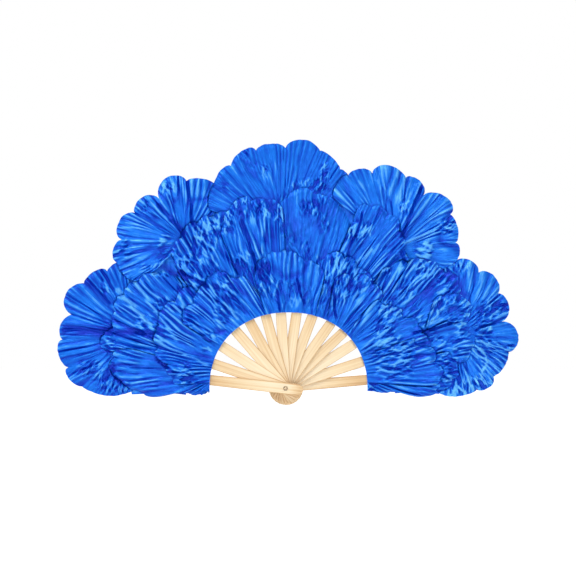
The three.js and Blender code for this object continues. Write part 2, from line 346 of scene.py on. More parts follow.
def hole_edge(direction, scale=1.0):
    """Places on the edge of the leaf's hole, an oval a little fuller than an ellipse.

    In a direction from the hole's centre, the distance is the inverse n-th root of the sum of
    the n-th powers of cosine over half width and sine over half height.
    """
    turn = np.radians(direction)
    wide = np.abs(np.cos(turn) / HOLE_HALF_WIDTH) ** HOLE_FULLNESS
    high = np.abs(np.sin(turn) / HOLE_HALF_HEIGHT) ** HOLE_FULLNESS
    reach = scale * (wide + high) ** (-1 / HOLE_FULLNESS)
    return HOLE_CENTRE[0] + reach * np.cos(turn), HOLE_CENTRE[1] + reach * np.sin(turn)


# %% [markdown]
# The satin is crinkled: it was wetted and twisted, and so it is full of long sharp creases,
# and between two creases it is nearly flat. That is what makes it glitter: of two neighbouring
# flanks one faces the light and the other one doesn't. The relief is a height in millimetres
# towards the viewer. Its main part is a zigzag across the petal, whose spacing and depth
# wander: three layers of it, each with a spacing, a depth and a sharpness. Where the satin was
# gathered it is also crushed, with creases that run every way.

# %% Creased pleats, folds and crumples, with lengths and depths in millimetres
PLEATS = [(8.4, 2.3, 0.7), (4.8, 1.7, 0.9), (2.7, 0.7, 1.2)]
PLEAT_WANDER = 0.85
GROOVE_DEPTH = 1.6
GROOVE_SPACING = 13
GROOVE_NARROWNESS = 0.09
FOLD_DEPTH = 2.2
FOLD_SIZE = (19, 40)
FINEST = 1.8
PATCH_SIZE = 20
WIDE_WANDER = (26, 34)
CLOSE_WANDER = (7, 22)
STROKE_SPACING = 4.9
STROKE_TURN = 0.42
STROKE_SMALLEST = (0.9, 4, 0.5)
STROKE_LARGEST = (2.3, 13, 1.8)
STROKE_CREST = 0.36
CRUMPLE_HEIGHT = 2.2
CRUMPLE_CREST = 0.6
RIM_WIDTH = 6.0
RIM_FADE = {"back": 0.35, "middle": 0.94, "front": 0.94}
JUNCTION_SHADE = 0.8
CUP_DEPTH = 0.4
TALLEST = 6.5


def pleats(across, away, pitch, seed):
    """A zigzag, 1 along its crests and 0 in its valleys, with the given spacing on average.

    The phase is the place across over the pitch, plus smooth random values, and the zigzag is
    twice the distance from the nearest whole number.
    """
    phase = across / pitch + PLEAT_WANDER * noise(across / pitch / 1.9, away / 38, seed)
    return 2 * np.abs(phase - np.round(phase))


def crumple(x, z, seed):
    """Crushed satin: hundreds of short straight creases, sharp valleys and sharp ridges.

    Each has a middle, a length, a width and a depth of its own, and a direction not far from
    the pleats' own. Its flanks are flat and its ends taper with the square of the distance.
    Returns the height in millimetres, and how much of a crest each point is, about 0.
    """
    random = np.random.default_rng(seed)
    columns, rows = x.shape
    size = np.hypot(np.ptp(x), np.ptp(z))
    height, crest = np.zeros(x.shape), np.zeros(x.shape)
    for _ in range(int((size / STROKE_SPACING) ** 2)):
        column = random.integers(columns)
        row = int((rows - 1) * random.uniform(0.02, 1) ** 0.6)
        pleat = np.arctan2(z[column, -1] - z[column, 0], x[column, -1] - x[column, 0])
        turn = pleat + random.normal(0, STROKE_TURN)
        wide, long, depth = random.uniform(STROKE_SMALLEST, STROKE_LARGEST)
        depth = depth * random.choice([-1, 1])
        near = np.hypot(x - x[column, row], z - z[column, row]) < long
        beside, ahead = x[near] - x[column, row], z[near] - z[column, row]
        sideways = (ahead * np.cos(turn) - beside * np.sin(turn)) / wide
        onwards = (beside * np.cos(turn) + ahead * np.sin(turn)) / long
        profile = np.clip(1 - np.abs(sideways), 0, 1) * (1 - onwards**2)
        height[near] += depth * profile
        # Painted highlight along each short ridge and painted shade along each short valley, in
        # the crest value.
        crest[near] += STROKE_CREST * np.sign(depth) * profile
    height = np.clip(height, -CRUMPLE_HEIGHT, CRUMPLE_HEIGHT)
    return height, np.clip(crest, -CRUMPLE_CREST, CRUMPLE_CREST)


def spread(across, away, size, seed):
    """Smooth random values with one change per size, in millimetres across and away."""
    return noise(across / size[0], away / size[1], seed)


def relief(flat, pleating, crush, rim_fade, seed):
    """The height of a petal's satin, and how much of a crest each point is, from 0 to 1.

    across is the arc length at the rim, so pleats spread as they leave the root, where only the
    widest are left and all are shallower. Crushed areas bend the pleats and lay short creases
    over them. Close to the rim only the share rim_fade of it all is left. Tall folds are held
    down: the hyperbolic tangent of the height over TALLEST keeps them under TALLEST.
    """
    x, z, across, away, gathered, share, hump = flat
    patch = noise(x / PATCH_SIZE, z / PATCH_SIZE, seed + 23) + 0.5 * (0.6 - share)
    crushed = smooth(0.5 + 2.2 * (patch + 0.75 * (crush - 1)))
    bent = across + (1.5 + 2 * crushed) * spread(across, away, WIDE_WANDER, seed)
    bent = bent + (0.5 + 0.5 * crushed) * spread(across, away, CLOSE_WANDER, seed + 1)
    height, crest = 0, 0
    for layer, (pitch, depth, sharpness) in enumerate(PLEATS, 2):
        reach = 11 + 2 * pitch
        broken = noise(bent / pitch / 1.7, away / reach, seed + 50 + layer)
        strength = 0.15 + 1.1 * smooth(0.5 + 0.9 * broken)
        strength = strength * smooth(pitch * gathered / FINEST - 1)
        zigzag = pleats(bent, away, pitch, seed + 10 * layer) ** sharpness
        height = height + depth * strength * zigzag
        crest = crest + strength * (zigzag - 0.5) / 1.5
    beside_groove = noise(bent / GROOVE_SPACING, away / 75, seed + 60) / GROOVE_NARROWNESS
    groove = np.exp(-(beside_groove**2)) * smooth(share * 5)
    flattened = pleating * (1 - 0.5 * crushed)
    height = (height - GROOVE_DEPTH * groove) * flattened
    fold = 0.5 + 0.5 * spread(across, away, FOLD_SIZE, seed + 22)
    height = height * (0.45 + 0.55 * gathered) + FOLD_DEPTH * fold * smooth(share * 1.4)
    facets, facet_crest = crumple(x, z, seed + 70)
    height = (height + crushed * (0.8 + facets) * smooth(share * 4)) * rim_fade
    # The crest value becomes colour: painted shade in the valleys and along the grooves, a painted
    # highlight on the crests.
    crest = 0.5 + (crest - 0.4 * groove) * flattened + crushed * facet_crest
    height = height + CUP_DEPTH * hump * smooth((share - 0.55) / 0.45)
    height, crest = creased(x, z, np.maximum(height, 0), crest)
    return TALLEST * np.tanh(height / TALLEST), np.clip(crest, 0, 1)


# %% [markdown]
# Some creases are long and straight enough to stand out. Each entry gives the x and z of one end
# and of the other, in millimetres, how deep the crease is, and how wide its flanks are. It lies
# between raised flanks that level off beside it; with a negative depth it is a ridge. A crease is
# painted darker and a ridge lighter: painted shade and a painted highlight.

# %% Long creases
CREASE_SCALE = 1.4
CREASE_END = 5
CREASE_LEVEL = 4
CREASE_SHADE = 0.75
CREASES = [
    (-98, 208, -92.5, 161, 2.2, 2.0), (-128.5, 184.5, -100, 153.5, 2.0, 2.6),
    (-117, 169, -101.5, 153.5, 1.6, 1.6), (-120, 125, -78, 100, 2.4, 2.4),
    (-47.5, 181, -27.5, 116.5, 2.4, 2.2), (11.5, 110.5, 18.5, 83, 1.8, 1.5),
    (-8.5, 96.5, -5.5, 76, 1.6, 1.5), (49, 96, 50, 69, 1.6, 1.5),
    (116.5, 150.5, 136.5, 200.5, 2.6, 2.2), (61.5, 130.5, 69, 149, 2.2, 1.8),
    (69, 149, 78, 176, 1.6, 1.4), (117, 136, 118.5, 122, 3.0, 2.6),
    (116, 143.5, 150, 157, -1.6, 1.6), (66, 121.5, 88, 138, -1.8, 2.0),
    (216.5, 66.5, 189, 57.5, 2.0, 1.6), (167.5, 63.5, 126.5, 53.5, 2.2, 2.0),
    (-224, 58.5, -172, 55.5, 2.4, 5.0), (-205, 117, -174, 83, 1.8, 2.2),
    (-188, 124, -171, 97, 1.6, 1.8), (-171, 55, -121, 54, 2.2, 4.0),
    (-169, 100, -122, 45, -2.0, 2.6), (-152, 108, -108, 46, -1.8, 2.2),
    (186, 42, 197.4, 37.5, -1.3, 1.4), (197.4, 37.5, 201.6, 29, -1.3, 1.4),
    (201.6, 29, 200, 20.5, -1.3, 1.4), (200, 20.5, 196, 15.5, -1.3, 1.4),
    (-172.5, 27, -172.5, 12, 2.4, 1.8), (-172.5, 12, -160, 2, 2.2, 2.4),
    (-131, 47, -76, 22, -1.6, 1.8), (-131, 30, -112, 15, 2.2, 1.8),
]


def creased(x, z, height, crest):
    """Adds the long creases to a relief: flanks that rise from each crease and level off, and
    painted shade along each crease in the crest value.
    """
    for first_x, first_z, last_x, last_z, depth, width in CREASES:
        length = np.hypot(last_x - first_x, last_z - first_z)
        along_x, along_z = (last_x - first_x) / length, (last_z - first_z) / length
        along = (x - first_x) * along_x + (z - first_z) * along_z
        beside = (x - first_x) * -along_z + (z - first_z) * along_x
        beside = np.abs(beside + 0.8 * noise(along / 9, 0 * along, int(length)))
        strength = smooth((along + 2) / CREASE_END) * smooth((length + 2 - along) / CREASE_END)
        flank = np.clip(beside / width, 0, 1)
        if depth < 0:
            flank = 1 - flank
        level = np.exp(-((np.clip(beside - width, 0, None) / CREASE_LEVEL) ** 2))
        height = height + CREASE_SCALE * abs(depth) * strength * flank * level
        # Painted shade along a crease and a painted highlight along a ridge, in the crest value.
        near = strength * np.clip(1.3 - beside / width, 0, 1)
        crest = crest - np.sign(depth) * CREASE_SHADE * near
    return height, crest


# %% [markdown]
# A petal rests on those behind it. A map of the heap, a height for each square millimetre over
# the ribs, keeps count: a new petal starts from the map, smoothed as cloth would bridge it, and
# then its own surface is entered in the map. Well inside the rim of a petal, the satin under it
# is pressed flat, and so a second map counts the layers above each petal.

# %% Maps over the fan, in millimetres
MAP_LOW = np.array([-250, -30])
MAP_SIZE = (500, 300)
LAYER_GAP = 0.2
RIM_GAP = 0.05
PRESSING = 12.0
SATIN_THICKNESS = 0.22
heap = np.zeros(MAP_SIZE)
lining_top = np.zeros(MAP_SIZE)


def cells(x, z):
    """The map's square for each place in millimetres."""
    column = np.clip(np.round(x - MAP_LOW[0]).astype(int), 0, MAP_SIZE[0] - 1)
    row = np.clip(np.round(z - MAP_LOW[1]).astype(int), 0, MAP_SIZE[1] - 1)
    return column, row


def neighbours(field, reach):
    """The map moved by every whole step up to reach, both ways."""
    steps = range(-reach, reach + 1)
    return [np.roll(field, (i, j), (0, 1)) for i in steps for j in steps]


def sampled(field, x, z):
    """A map's value at each place, blended between its four squares."""
    left, low = np.floor(x).astype(int), np.floor(z).astype(int)
    right_share, up_share = x - left, z - low
    value = 0
    for i, across_share in ((0, 1 - right_share), (1, right_share)):
        for j, along_share in ((0, 1 - up_share), (1, up_share)):
            value = value + field[cells(left + i, low + j)] * across_share * along_share
    return value


def mapped(x, z, values):
    """A map of values at places, with the squares closed that the places skip."""
    layer = np.zeros(MAP_SIZE)
    np.maximum.at(layer, cells(x.ravel(), z.ravel()), np.broadcast_to(values, x.shape).ravel())
    return np.where(layer > 0, layer, np.max(neighbours(layer, 1), axis=0))


def softened(field, times):
    """A map smoothed by taking the mean of 5 by 5 squares, several times."""
    for _ in range(times):
        field = np.mean(neighbours(field, 2), axis=0)
    return field


def laid(x, z, own, dome, above, near_rim=0.0):
    """The height of a new surface: the heap, a gap, its dome and its relief, pressed if covered.

    Cloth bridges the small folds under it, so the heap is smoothed. Near the rim, by the share
    near_rim, the satin follows them instead, where there is a petal to follow.
    """
    held = softened(heap, 2)
    closely = np.where(heap > 0, heap, held)
    loose_part = (sampled(held, x, z) + LAYER_GAP) * (1 - near_rim)
    rim_part = (sampled(closely, x, z) + RIM_GAP) * near_rim
    height = loose_part + rim_part + dome + own / (1 + PRESSING * above)
    height = np.maximum(height, sampled(lining_top, x, z) + SATIN_THICKNESS)
    np.maximum(heap, mapped(x, z, height), out=heap)
    return height


# %% [markdown]
# A petal's surface is a grid: one parameter turns about the root, the other runs from the inner
# edge to the rim. Its normals are worked out here, on the whole petal, because it is cut apart at
# the sticks later and the light must not show the cuts. A point's ten numbers are its place, its
# normal, its place on the cloth, how much of a crest it is and its tone; the last two turn into
# colour with painted shade and highlight.

# %% A petal as a grid
ACROSS_STEP = 0.4
ALONG_STEP = 1.3
FEWEST_STEPS = 12
PLACE = slice(0, 3)
NORMAL = slice(3, 6)
CLOTH = slice(6, 8)
CREST = 8
TONE = 9
UV_UNIT = 100
DOME = {"back": 2.4, "middle": 0.6, "front": 0.0}
RAGGED = {"back": 0.6, "middle": 2.2, "front": 2.6}


def grid_triangles(columns, rows):
    """Two triangles for each square of a grid of points numbered row by row, facing -Y."""
    point = np.arange(columns * rows).reshape(columns, rows)
    a, b, c, d = point[:-1, :-1], point[1:, :-1], point[1:, 1:], point[:-1, 1:]
    halves = [np.stack(corner, -1).reshape(-1, 3) for corner in ((a, b, c), (a, c, d))]
    return np.concatenate(halves)


def grid_normals(places):
    """The normal at each point of a grid of places: across the two directions of the grid."""
    sideways = np.gradient(places, axis=0)
    outwards = np.gradient(places, axis=1)
    normals = np.cross(sideways, outwards)
    normals /= np.linalg.norm(normals, axis=-1, keepdims=True)
    return normals * np.where(normals[..., 1:2] > 0, -1, 1)


def crossed_edges(points, triangles):
    """Each triangle's normal, as long as twice its area: the cross product of two edges."""
    corner = points[triangles, PLACE]
    return np.cross(corner[:, 1] - corner[:, 0], corner[:, 2] - corner[:, 0])


def surface(x, z, height, across, along, crest, tone):
    """Points and triangles of a grid that stands height millimetres in front of the ribs.

    The outlines were measured as the camera sees them, on the plane y = 0, so each point moves
    along its line of sight to its own depth. Triangles that a tight fold has turned round are
    left out.
    """
    y = rib_surface(x, z) - height * MM
    nearness = 1 - y / CAMERA_AT[1]
    x = CAMERA_AT[0] + (x * MM - CAMERA_AT[0]) * nearness
    z = CAMERA_AT[2] + (z * MM - CAMERA_AT[2]) * nearness
    places = np.stack([x, y, z], -1)
    normals = grid_normals(places)
    tones = np.full_like(crest, tone)
    pattern = np.stack([across / UV_UNIT, along / UV_UNIT, crest, tones], -1)
    points = np.concatenate([places, normals, pattern], -1).reshape(-1, TONE + 1)
    triangles = grid_triangles(*x.shape)
    facing = crossed_edges(points, triangles)[:, 1]
    if facing.sum() > 0:
        facing, triangles = -facing, triangles[:, ::-1]
    return points, triangles[facing < 0]


def line_length(places):
    """The length of a line through places, given as their x and their z."""
    return np.hypot(*np.diff(places, axis=1)).sum()


def layout(row, root, gather, rim_points, seed):
    """A petal laid out flat: straight lines from its gathered edge to its rim.

    The rim turns about the root. The gathered edge is a stretch of the hole's edge, between
    two directions and at a scale, or else a narrow bunch close to the root. Steps outwards are
    the mean of even ones and a sine's, so they are finer at the rim.
    """
    root = np.array(root, float)
    offsets = np.array(rim_points, float).reshape(-1, 2) - root
    turns = np.unwrap(np.arctan2(offsets[:, 1], offsets[:, 0]))
    distances = np.hypot(*offsets.T)
    reach = distances.mean()
    steps = int((turns[-1] - turns[0]) * reach / ACROSS_STEP)
    turn = np.linspace(turns[0], turns[-1], steps)[:, None]
    rim, hump = rim_distance(turn, turns, distances)
    ragged = 0.35 * noise(turn * reach / 2.5, 0 * turn, seed + 40)
    rim = rim + RAGGED[row] * (ragged + 0.65 * noise(turn * reach / 7, 0 * turn, seed + 41))
    root = root[:, None, None]
    end = root + rim * np.stack([np.cos(turn), np.sin(turn)])
    start = root + (end - root) * ROOT_SHARE
    if gather:
        start = np.stack(hole_edge(np.linspace(*gather[:2], steps)[:, None], gather[2]))
    length = np.hypot(*(end - start))
    even = np.linspace(0, 1, max(int(length.mean() / ALONG_STEP), FEWEST_STEPS))[None, :]
    share = (even + np.sin(even * np.pi / 2)) / 2
    x, z = start + (end - start) * share
    narrow = line_length(start) / line_length(end)
    gathered = narrow + (1 - narrow) * share
    return x, z, turn * reach + 0 * share, length * share, gathered, share, hump


def petal(row, look, flat, above, junction_shade_map, seed):
    """A petal's surface: its relief on the heap, at its flat layout's places.

    A petal is a little domed, and close to its rim it lies down and follows the folds of the satin
    behind it. Where it comes out from under others, its colour is darker: painted shade.
    """
    x, z, across, away, _, share, _ = flat
    pleating, crush, tone = look
    near_rim = smooth(1 - (away[:, -1:] - away) / RIM_WIDTH)
    own, crest = relief(flat, pleating, crush, 1 - RIM_FADE[row] * near_rim, seed)
    height = laid(x, z, own, DOME[row] * (1 - share**2), sampled(above, x, z), near_rim)
    # Painted shade where the petal comes out from under others.
    crest = np.clip(crest - JUNCTION_SHADE * np.clip(sampled(junction_shade_map, x, z), 0, 1), 0, 1)
    return surface(x, z, height, across, away, crest, tone)


# %% [markdown]
# Behind the petals a plain lining of satin joins the ribs. It is what the back of the fan
# shows. It is gathered round the hole into sharp pleats that flatten on their way outwards.

# %% The lining
LINING_REACH = 199.0
LINING_RIGHT = -2.4
LINING_LEFT = 182.6
LINING_MIDDLE = 110
LINING_STEP = 0.9
LINING_ROWS = 80
CORNER_CUT = 45
CUT_FROM = 84
CUT_OVER = 8
GATHER_DEPTH = 1.4
GATHER_END = 0.55
CREASE_DEPTH = 0.3


def lining(above):
    """Straight lines from the hole's edge to a circle, which steps inwards at both ends."""
    steps = int(np.radians(LINING_LEFT - LINING_RIGHT) * LINING_MIDDLE / LINING_STEP)
    direction = np.linspace(LINING_RIGHT, LINING_LEFT, steps)[:, None]
    start_x, start_z = hole_edge(direction)
    turn = np.radians(direction)
    end = LINING_REACH - CORNER_CUT * smooth((np.abs(direction - 90) - CUT_FROM) / CUT_OVER)
    share = np.linspace(0, 1, LINING_ROWS)[None, :]
    x = start_x + (end * np.cos(turn) - start_x) * share
    z = start_z + (end * np.sin(turn) - start_z) * share
    across = turn * HOLE_HALF_WIDTH + 0 * share
    away = share * (LINING_REACH - HOLE_HALF_WIDTH) + 0 * turn
    folds = 0.6 * pleats(across, away, 3.6, 6) + 0.4 * pleats(across, away, 2.0, 8)
    gathered = 1 - smooth(share / GATHER_END)
    loose = 0.5 + 0.5 * noise(across / 3, away / 40, 5)
    # The crest value paints shade in the lining's folds and a highlight on their crests.
    crest = loose + (folds - loose) * gathered
    own = CREASE_DEPTH * loose + GATHER_DEPTH * folds * gathered
    return surface(x, z, laid(x, z, own, 0, sampled(above, x, z)), across, away, crest, 0.5)


seeds = [100 * number + 1 for number in range(len(PETALS))]
flats = [
    layout(row, root, gather, rim_points, seed)
    for (row, root, _, gather, rim_points), seed in zip(PETALS, seeds)
]
covers = [np.min(neighbours(mapped(flat[0], flat[1], 1.0), 3), axis=0) for flat in flats]
sheets = [("back", *lining(softened(sum(covers), 1)))]
lining_top[:] = heap
for number, (row, _, look, _, _) in enumerate(PETALS):
    above = softened(sum(covers[number + 1:], np.zeros(MAP_SIZE)), 1)
    # Painted shade: the colour is darkened just outside the rims of the petals above.
    junction_shade_map = softened(above, 4)
    sheets.append((row, *petal(row, look, flats[number], above, junction_shade_map, seeds[number])))
print("triangles on the front of the satin:", sum(len(triangles) for _, _, triangles in sheets))
print("deepest heap, mm:", heap.max().round(1))

# %% [markdown]
# ## Cutting the leaf at the sticks
# Each stick turns by itself, so the satin has to bend between them. It is cut along the middle
# line of each stick, where the glue holds it, into one piece for each gap and row.

# %% Cutting a surface along a stick's middle line
ON_LINE = 1e-7


def scored(points, triangles, direction):
    """The same surface with its triangles divided along a line through the rivet.

    Each triangle that the line crosses has one corner alone on its side. The two edges that
    leave that corner get a new point where they meet the line, shared with the neighbour.
    """
    side = points[:, 2] * np.cos(direction) - points[:, 0] * np.sin(direction)
    side = np.where(np.abs(side) < ON_LINE, ON_LINE, side)
    left = side[triangles] > 0
    crossed = left.any(1) & ~left.all(1)
    if not crossed.any():
        return points, triangles
    cut, left = triangles[crossed], left[crossed]
    alone = np.where(left.sum(1) == 1, left.argmax(1), (~left).argmax(1))
    order = (alone[:, None] + np.arange(3)) % 3
    a, b, c = np.take_along_axis(cut, order, 1).T
    edges = np.sort(np.concatenate([np.stack([a, b], 1), np.stack([a, c], 1)]), 1)
    edges, place = np.unique(edges, axis=0, return_inverse=True)
    near, far = side[edges[:, 0]], side[edges[:, 1]]
    share = (near / (near - far))[:, None]
    added = points[edges[:, 0]] * (1 - share) + points[edges[:, 1]] * share
    ab, ac = len(points) + place.reshape(2, -1)
    parts = [np.stack(t, 1) for t in ((a, ab, ac), (ab, b, c), (ab, c, ac))]
    return np.concatenate([points, added]), np.concatenate([triangles[~crossed], *parts])


def gap_of(points, triangles):
    """The number of the gap that each triangle lies in: 0 is right of the rear guard."""
    middle = points[triangles, PLACE].mean(1)
    return np.searchsorted(directions, direction_at(middle[:, 0], middle[:, 2]))


# %% [markdown]
# Satin is thin, but it isn't nothing: each cut piece becomes a closed body with a front, a back
# and a narrow wall round its edge.


# %% From surfaces to closed pieces
def used_only(points, triangles):
    """The points that the triangles use, and the triangles numbered anew."""
    used, renumbered = np.unique(triangles, return_inverse=True)
    return points[used], renumbered.reshape(-1, 3)


def closed(points, triangles):
    """A front, the same surface a thickness behind it, and walls along the edges between them."""
    count = len(points)
    back = points.copy()
    back[:, 1] += SATIN_THICKNESS * MM
    back[:, NORMAL] *= -1
    edges = np.concatenate([triangles[:, [0, 1]], triangles[:, [1, 2]], triangles[:, [2, 0]]])
    code, reverse = edges[:, 0] * count + edges[:, 1], edges[:, 1] * count + edges[:, 0]
    a, b = edges[~np.isin(code, reverse)].T
    walls = [np.stack(wall, 1) for wall in ((b, a, a + count), (b, a + count, b + count))]
    skin = np.concatenate([triangles, triangles[:, ::-1] + count, *walls])
    return np.concatenate([points, back]), skin


def joined(parts):
    """Several bodies as one list of points and one of triangles."""
    starts = np.cumsum([0] + [len(points) for points, _ in parts[:-1]])
    triangles = [triangles + start for start, (_, triangles) in zip(starts, parts)]
    return np.concatenate([points for points, _ in parts]), np.concatenate(triangles)


def build(name, points, triangles, material):
    """A Blender mesh with the given normals, a UV map in decimetres and two painted values."""
    mesh = bpy.data.meshes.new(name)
    mesh.vertices.add(len(points))
    mesh.vertices.foreach_set("co", points[:, PLACE].ravel())
    mesh.loops.add(triangles.size)
    mesh.loops.foreach_set("vertex_index", triangles.ravel())
    mesh.polygons.add(len(triangles))
    mesh.polygons.foreach_set("loop_start", np.arange(0, triangles.size, 3))
    mesh.update(calc_edges=True)
    cloth_map = mesh.uv_layers.new(name="cloth")
    cloth_map.uv.foreach_set("vector", points[triangles.ravel(), CLOTH].ravel())
    for column, label in ((CREST, "crest"), (TONE, "tone")):
        values = mesh.attributes.new(label, "FLOAT", "POINT")
        values.data.foreach_set("value", points[:, column].astype(np.float32))
    mesh.normals_split_custom_set_from_vertices(points[:, NORMAL])
    mesh.materials.append(material)
    return placed(name, mesh)


# %% [markdown]
# ## Shader maths
# A small class stands for one output socket. Sums and products of such values are written as
# in Python, and each adds its Math node. Every other node comes from one method.


# %% Sockets as values
class Value:
    """One output socket of a node, to be used in sums and products."""

    def __init__(self, graph, socket):
        self.graph = graph
        self.socket = socket

    def __add__(self, other):
        return self.graph.math("ADD", self, other)

    def __sub__(self, other):
        return self.graph.math("SUBTRACT", self, other)

    def __rsub__(self, other):
        return self.graph.math("SUBTRACT", other, self)

    def __mul__(self, other):
        return self.graph.math("MULTIPLY", self, other)

    __radd__ = __add__
    __rmul__ = __mul__


class Graph:
    """The nodes of a material or of the world."""

    def __init__(self, owner):
        owner.use_nodes = True
        owner.node_tree.nodes.clear()
        self.owner = owner
        self.tree = owner.node_tree

    def add(self, kind, settings=None, inputs=None, output=0):
        """Makes a node: its settings first, then the values or links of its sockets.

        The kind is the node's type in Blender, such as ShaderNodeMath, without ShaderNode.
        """
        node = self.tree.nodes.new("ShaderNode" + kind)
        for name, value in (settings or {}).items():
            setattr(node, name, value)
        for name, value in (inputs or {}).items():
            if isinstance(value, Value):
                self.tree.links.new(value.socket, node.inputs[name])
            else:
                node.inputs[name].default_value = value
        return Value(self, node.outputs[output]) if len(node.outputs) else None

    def math(self, operation, *values):
        """A Math node's value, worked out from one value or two."""
        return self.add("Math", {"operation": operation}, dict(enumerate(values)))

    def place(self):
        """Places in metres, the same as in the mesh."""
        return self.add("TexCoord", None, None, "Object")

    def mapping(self, vector, **inputs):
        """Places scaled, turned or moved."""
        return self.add("Mapping", None, {"Vector": vector, **inputs})

    def noise(self, vector, scale, detail=3.0):
        """A noise texture's value, about 0.5 on average."""
        return self.add("TexNoise", None, {"Vector": vector, "Scale": scale, "Detail": detail})

    def ranged(self, value, first, last):
        """How far a value is on its way from first to last, from 0 to 1."""
        return self.add("MapRange", None, {"Value": value, "From Min": first, "From Max": last})

    def dyed(self, value, *stops):
        """A value's colour on a ramp. Each stop is a place and its red, green and blue."""
        shade = self.add("ValToRGB", None, {"Fac": value}, "Color")
        elements = shade.socket.node.color_ramp.elements
        while len(elements) < len(stops):
            elements.new(0.5)
        for element, (place, *screen) in zip(elements, stops):
            element.position = place
            element.color = colour(*screen)
        return shade

    def bump(self, height, distance, strength):
        """A normal bent by a height that is given as a share of distance, in metres."""
        inputs = {"Height": height, "Distance": distance, "Strength": strength}
        return self.add("Bump", None, inputs)

    def finish(self, **inputs):
        """The Principled shader with these inputs, as the material's surface."""
        names = {name.replace("_", " "): value for name, value in inputs.items()}
        shader = self.add("BsdfPrincipled", None, names)
        self.add("OutputMaterial", None, {"Surface": shader})
        return self.owner


def colour(red, green, blue):
    """A colour given as 0 to 255 on screen, as the linear values that a shader wants."""
    screen = np.array([red, green, blue]) / 255
    linear = np.where(screen <= 0.04045, screen / 12.92, ((screen + 0.055) / 1.055) ** 2.4)
    return (*linear, 1.0)


# %% [markdown]
# ## Satin
# The colour follows the crest value that was painted on the mesh: painted shade in the valleys of
# the pleats, in grooves and creases and where petals come out from under others, and a painted
# highlight along the crests. Each petal's tone adds painted light and shade, and cloudy patches of
# colour lie over it all. The weave itself shows as fine streaks that run outwards with the pleats,
# a painted sheen as well as texture: they come from the cloth's own UV map, far denser across than
# along. Small flat facets get a random shade of their own, a painted sheen that breaks up the
# shine.

# %% Satin
SATIN_DYES_AND_SHADES = [(0.0, 0, 39, 173), (0.3, 0, 75, 198), (0.6, 14, 115, 227), (1.0, 106, 190, 251)]


def satin_material():
    """Coloured by crest, tone, streaks, facets and clouds, with painted shade, highlight and
    sheen; streaks and small facets bend its normal.
    """
    graph = Graph(bpy.data.materials.new("petal_satin"))
    crest = graph.add("Attribute", {"attribute_name": "crest"}, None, "Fac")
    tone = graph.add("Attribute", {"attribute_name": "tone"}, None, "Fac")
    cloth = graph.add("UVMap", {"uv_map": "cloth"})
    streaks = graph.noise(graph.mapping(cloth, Scale=(95.0, 5.0, 1.0)), 1.0)
    clouds = graph.noise(graph.place(), 45.0)
    bits = {"Vector": graph.mapping(cloth, Scale=(42.0, 12.0, 1.0)), "Scale": 1.0}
    facets = graph.add("TexVoronoi", None, bits, "Color")
    facet = graph.add("SeparateColor", None, {"Color": facets}, "Red")
    ridges = graph.add("TexVoronoi", {"feature": "DISTANCE_TO_EDGE"}, bits)
    # Painted shade and highlight: crest darkens the valleys and lightens the crests, each petal's
    # tone paints light and shade, streaks and facets paint sheen; clouds are patches of colour.
    depth = crest * 0.75 + facet * 0.12 + streaks * 0.4 + clouds * 0.5 + tone * 0.3 - 0.575
    height = streaks * 0.6 + ridges * 1.2
    return graph.finish(
        Base_Color=graph.dyed(depth, *SATIN_DYES_AND_SHADES),
        Metallic=0.25,
        Roughness=0.24 + clouds * 0.2,
        Specular_IOR_Level=0.15,
        Normal=graph.bump(height, 0.5 * MM, 0.8),
    )


satin = satin_material()
print("satin nodes:", len(satin.node_tree.nodes))

# %% [markdown]
# ## Bamboo
# Bamboo slips are pale and straight-grained: thin fibres run the whole length, a little darker or
# lighter. Along the edges of each stick the colour is painted darker, a painted shade where the
# sticks overlap. Near the rivet it is painted lighter, painted light against the shade between the
# sticks there, and towards the leaf it is browner; the two guards are the brownest. At the tail it
# is painted darker, a painted shade. Each stick points its own way, so each has its own material
# with the pattern turned to lie along it.

# %% Bamboo
BROWN = {"rear_guard": 0.46, "front_guard": 0.38}
STICK_BROWN = 0.13
EDGE_SHADE_SPAN = (4.3 * MM, 5.1 * MM)
RIVET_LIGHT_LEAF_BROWN_SPAN = (15 * MM, 75 * MM)
TAIL_SHADE_SPAN = (-3 * MM, -14 * MM)
BAMBOO_SHADES = [
    (0.0, 204, 162, 112), (0.2, 226, 190, 140), (0.4, 238, 211, 168), (0.6, 247, 226, 190),
    (0.9, 253, 238, 210),
]


